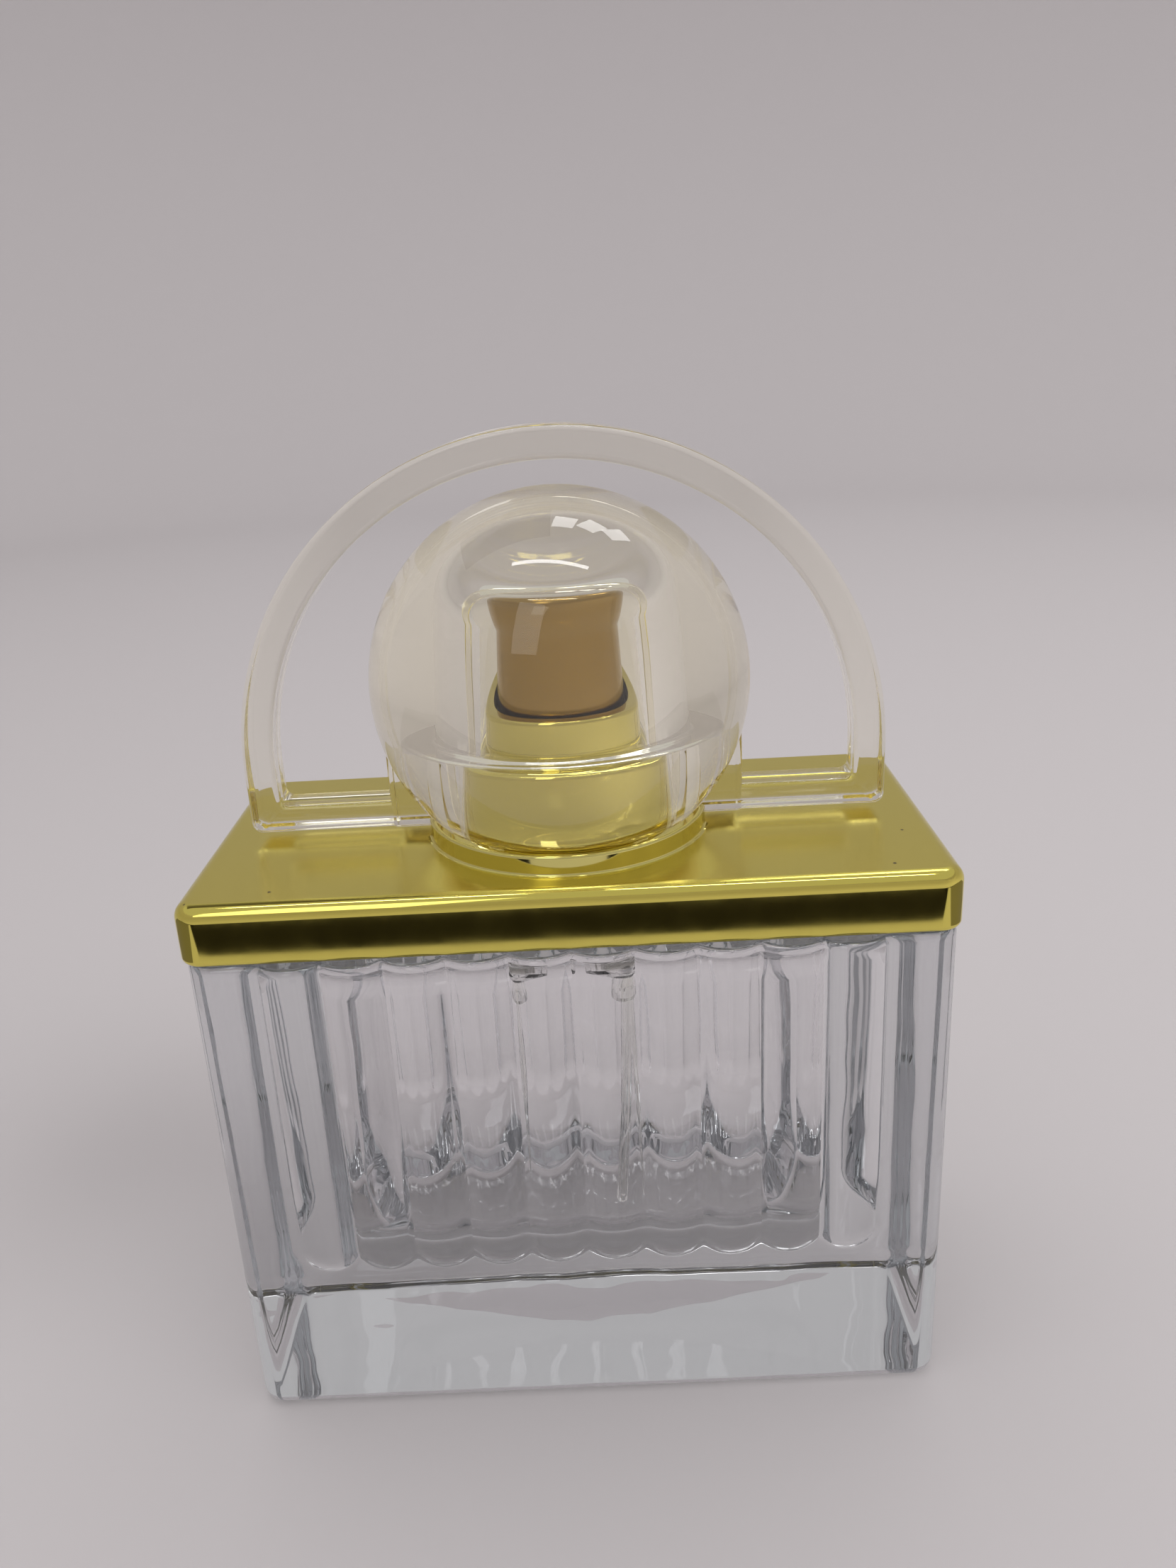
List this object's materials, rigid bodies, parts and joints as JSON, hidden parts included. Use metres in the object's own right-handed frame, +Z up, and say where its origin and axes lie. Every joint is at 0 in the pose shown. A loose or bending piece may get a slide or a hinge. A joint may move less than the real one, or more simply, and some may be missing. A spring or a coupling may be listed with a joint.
{
  "type": "perfume bottle",
  "caption": "Rectangular clear glass perfume bottle with ribbed faces, gold shoulder plate, crimped spray pump and clear dome cap with a shackle handle.",
  "frame": {"origin": "centre of the flat base of the glass", "axes": "+Z up along the neck, +X to the right and -Y out of the ribbed front that the picture shows"},
  "size_m": [0.07, 0.0358, 0.0951],
  "materials": {
    "flint_glass": "polished clear",
    "gold_shell": "bright gold anodised",
    "warm_gold_shell": "bright warm gold anodised",
    "clear_acrylic": "polished clear",
    "natural_plastic": "moulded natural",
    "clear_tube": "extruded clear",
    "bright_aluminium": "bright",
    "spring_steel": "bright drawn",
    "black_rubber": "moulded matt"
  },
  "bodies": {
    "bottle": {"glass_bottle": "flint_glass", "shoulder_plate": "gold_shell", "collar_shell": "gold_shell", "collar_liner": "natural_plastic", "crimp_ferrule": "bright_aluminium", "neck_gasket": "black_rubber", "pump_housing": "natural_plastic", "pump_turret": "natural_plastic", "stem_seal": "black_rubber", "ball_cage": "natural_plastic", "dip_tube": "clear_tube", "pump_spring": "spring_steel"},
    "plunger": {"pump_stem": "natural_plastic", "pump_piston": "natural_plastic"},
    "button": {"actuator_shell": "warm_gold_shell", "actuator_core": "natural_plastic", "spray_nozzle": "natural_plastic"},
    "check_ball": {"inlet_ball": "spring_steel"},
    "cap": {"cap_dome": "clear_acrylic", "cap_handle": "clear_acrylic"}
  },
  "joints": [
    {"name": "pump_stroke", "type": "slide", "parent": "bottle", "child": "plunger", "axis": [0, 0, -1], "range_m": [0, 0.004], "stiffness_N_per_m": 1500, "springref_m": -0.003, "deforming": ["pump_spring"]},
    {"name": "button_turn", "type": "hinge", "parent": "plunger", "child": "button", "pos_m": [0, 0, 0.073], "axis": [0, 0, 1], "continuous": true},
    {"name": "ball_lift", "type": "slide", "parent": "bottle", "child": "check_ball", "axis": [0, 0, 1], "range_m": [0, 0.0006]},
    {"name": "cap_lift", "type": "slide", "parent": "bottle", "child": "cap", "axis": [0, 0, 1], "range_m": [0, 0.03]}
  ]
}
